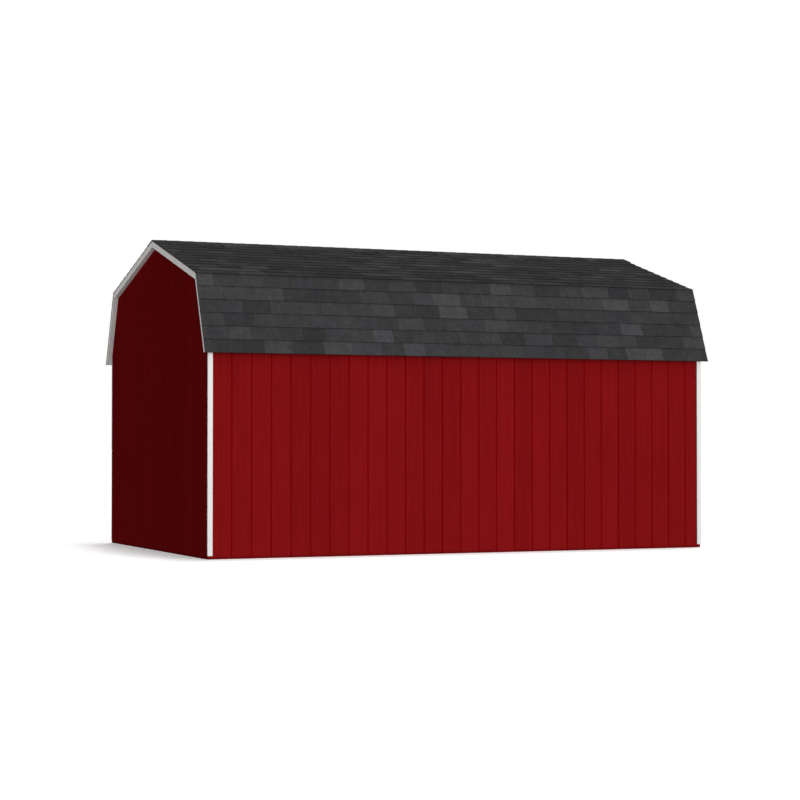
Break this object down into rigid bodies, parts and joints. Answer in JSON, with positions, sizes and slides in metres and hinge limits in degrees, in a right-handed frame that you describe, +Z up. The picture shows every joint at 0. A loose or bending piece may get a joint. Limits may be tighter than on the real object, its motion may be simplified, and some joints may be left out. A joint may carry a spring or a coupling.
{
  "type": "gambrel shed",
  "caption": "Free-standing timber garden shed on skids with vertical board walls, corner trim and a shingled gambrel roof, hollow inside for storage.",
  "frame": {"origin": "on the ground, under the middle of the shed", "axes": "+X along the ridge, +Y from the front side wall to the back one, +Z up"},
  "size_m": [4.972, 3.166, 2.854],
  "materials": {
    "red_siding": "flat red paint on vertical boards",
    "white_trim": "satin white paint",
    "shingles": "charcoal mineral granules on asphalt",
    "roof_sheathing": "bare strand board",
    "wall_timber": "bare softwood",
    "floor_plywood": "bare plywood",
    "treated_timber": "pressure-treated softwood"
  },
  "bodies": {
    "root": {"back_left_corner_trim": "white_trim", "back_lower_sheathing": "roof_sheathing", "back_lower_shingles": "shingles", "back_right_corner_trim": "white_trim", "back_rim_joist": "treated_timber", "back_siding": "red_siding", "back_skid": "treated_timber", "back_upper_sheathing": "roof_sheathing", "back_upper_shingles": "shingles", "back_wall": "wall_timber", "floor_joists": "treated_timber", "floor_panel": "floor_plywood", "front_left_corner_trim": "white_trim", "front_lower_sheathing": "roof_sheathing", "front_lower_shingles": "shingles", "front_right_corner_trim": "white_trim", "front_rim_joist": "treated_timber", "front_siding": "red_siding", "front_skid": "treated_timber", "front_upper_sheathing": "roof_sheathing", "front_upper_shingles": "shingles", "front_wall": "wall_timber", "left_back_lower_rake": "white_trim", "left_back_upper_rake": "white_trim", "left_end_siding": "red_siding", "left_end_wall": "wall_timber", "left_front_lower_rake": "white_trim", "left_front_upper_rake": "white_trim", "middle_skid": "treated_timber", "ridge_cap": "shingles", "right_back_lower_rake": "white_trim", "right_back_upper_rake": "white_trim", "right_end_siding": "red_siding", "right_end_wall": "wall_timber", "right_front_lower_rake": "white_trim", "right_front_upper_rake": "white_trim"}
  },
  "joints": []
}
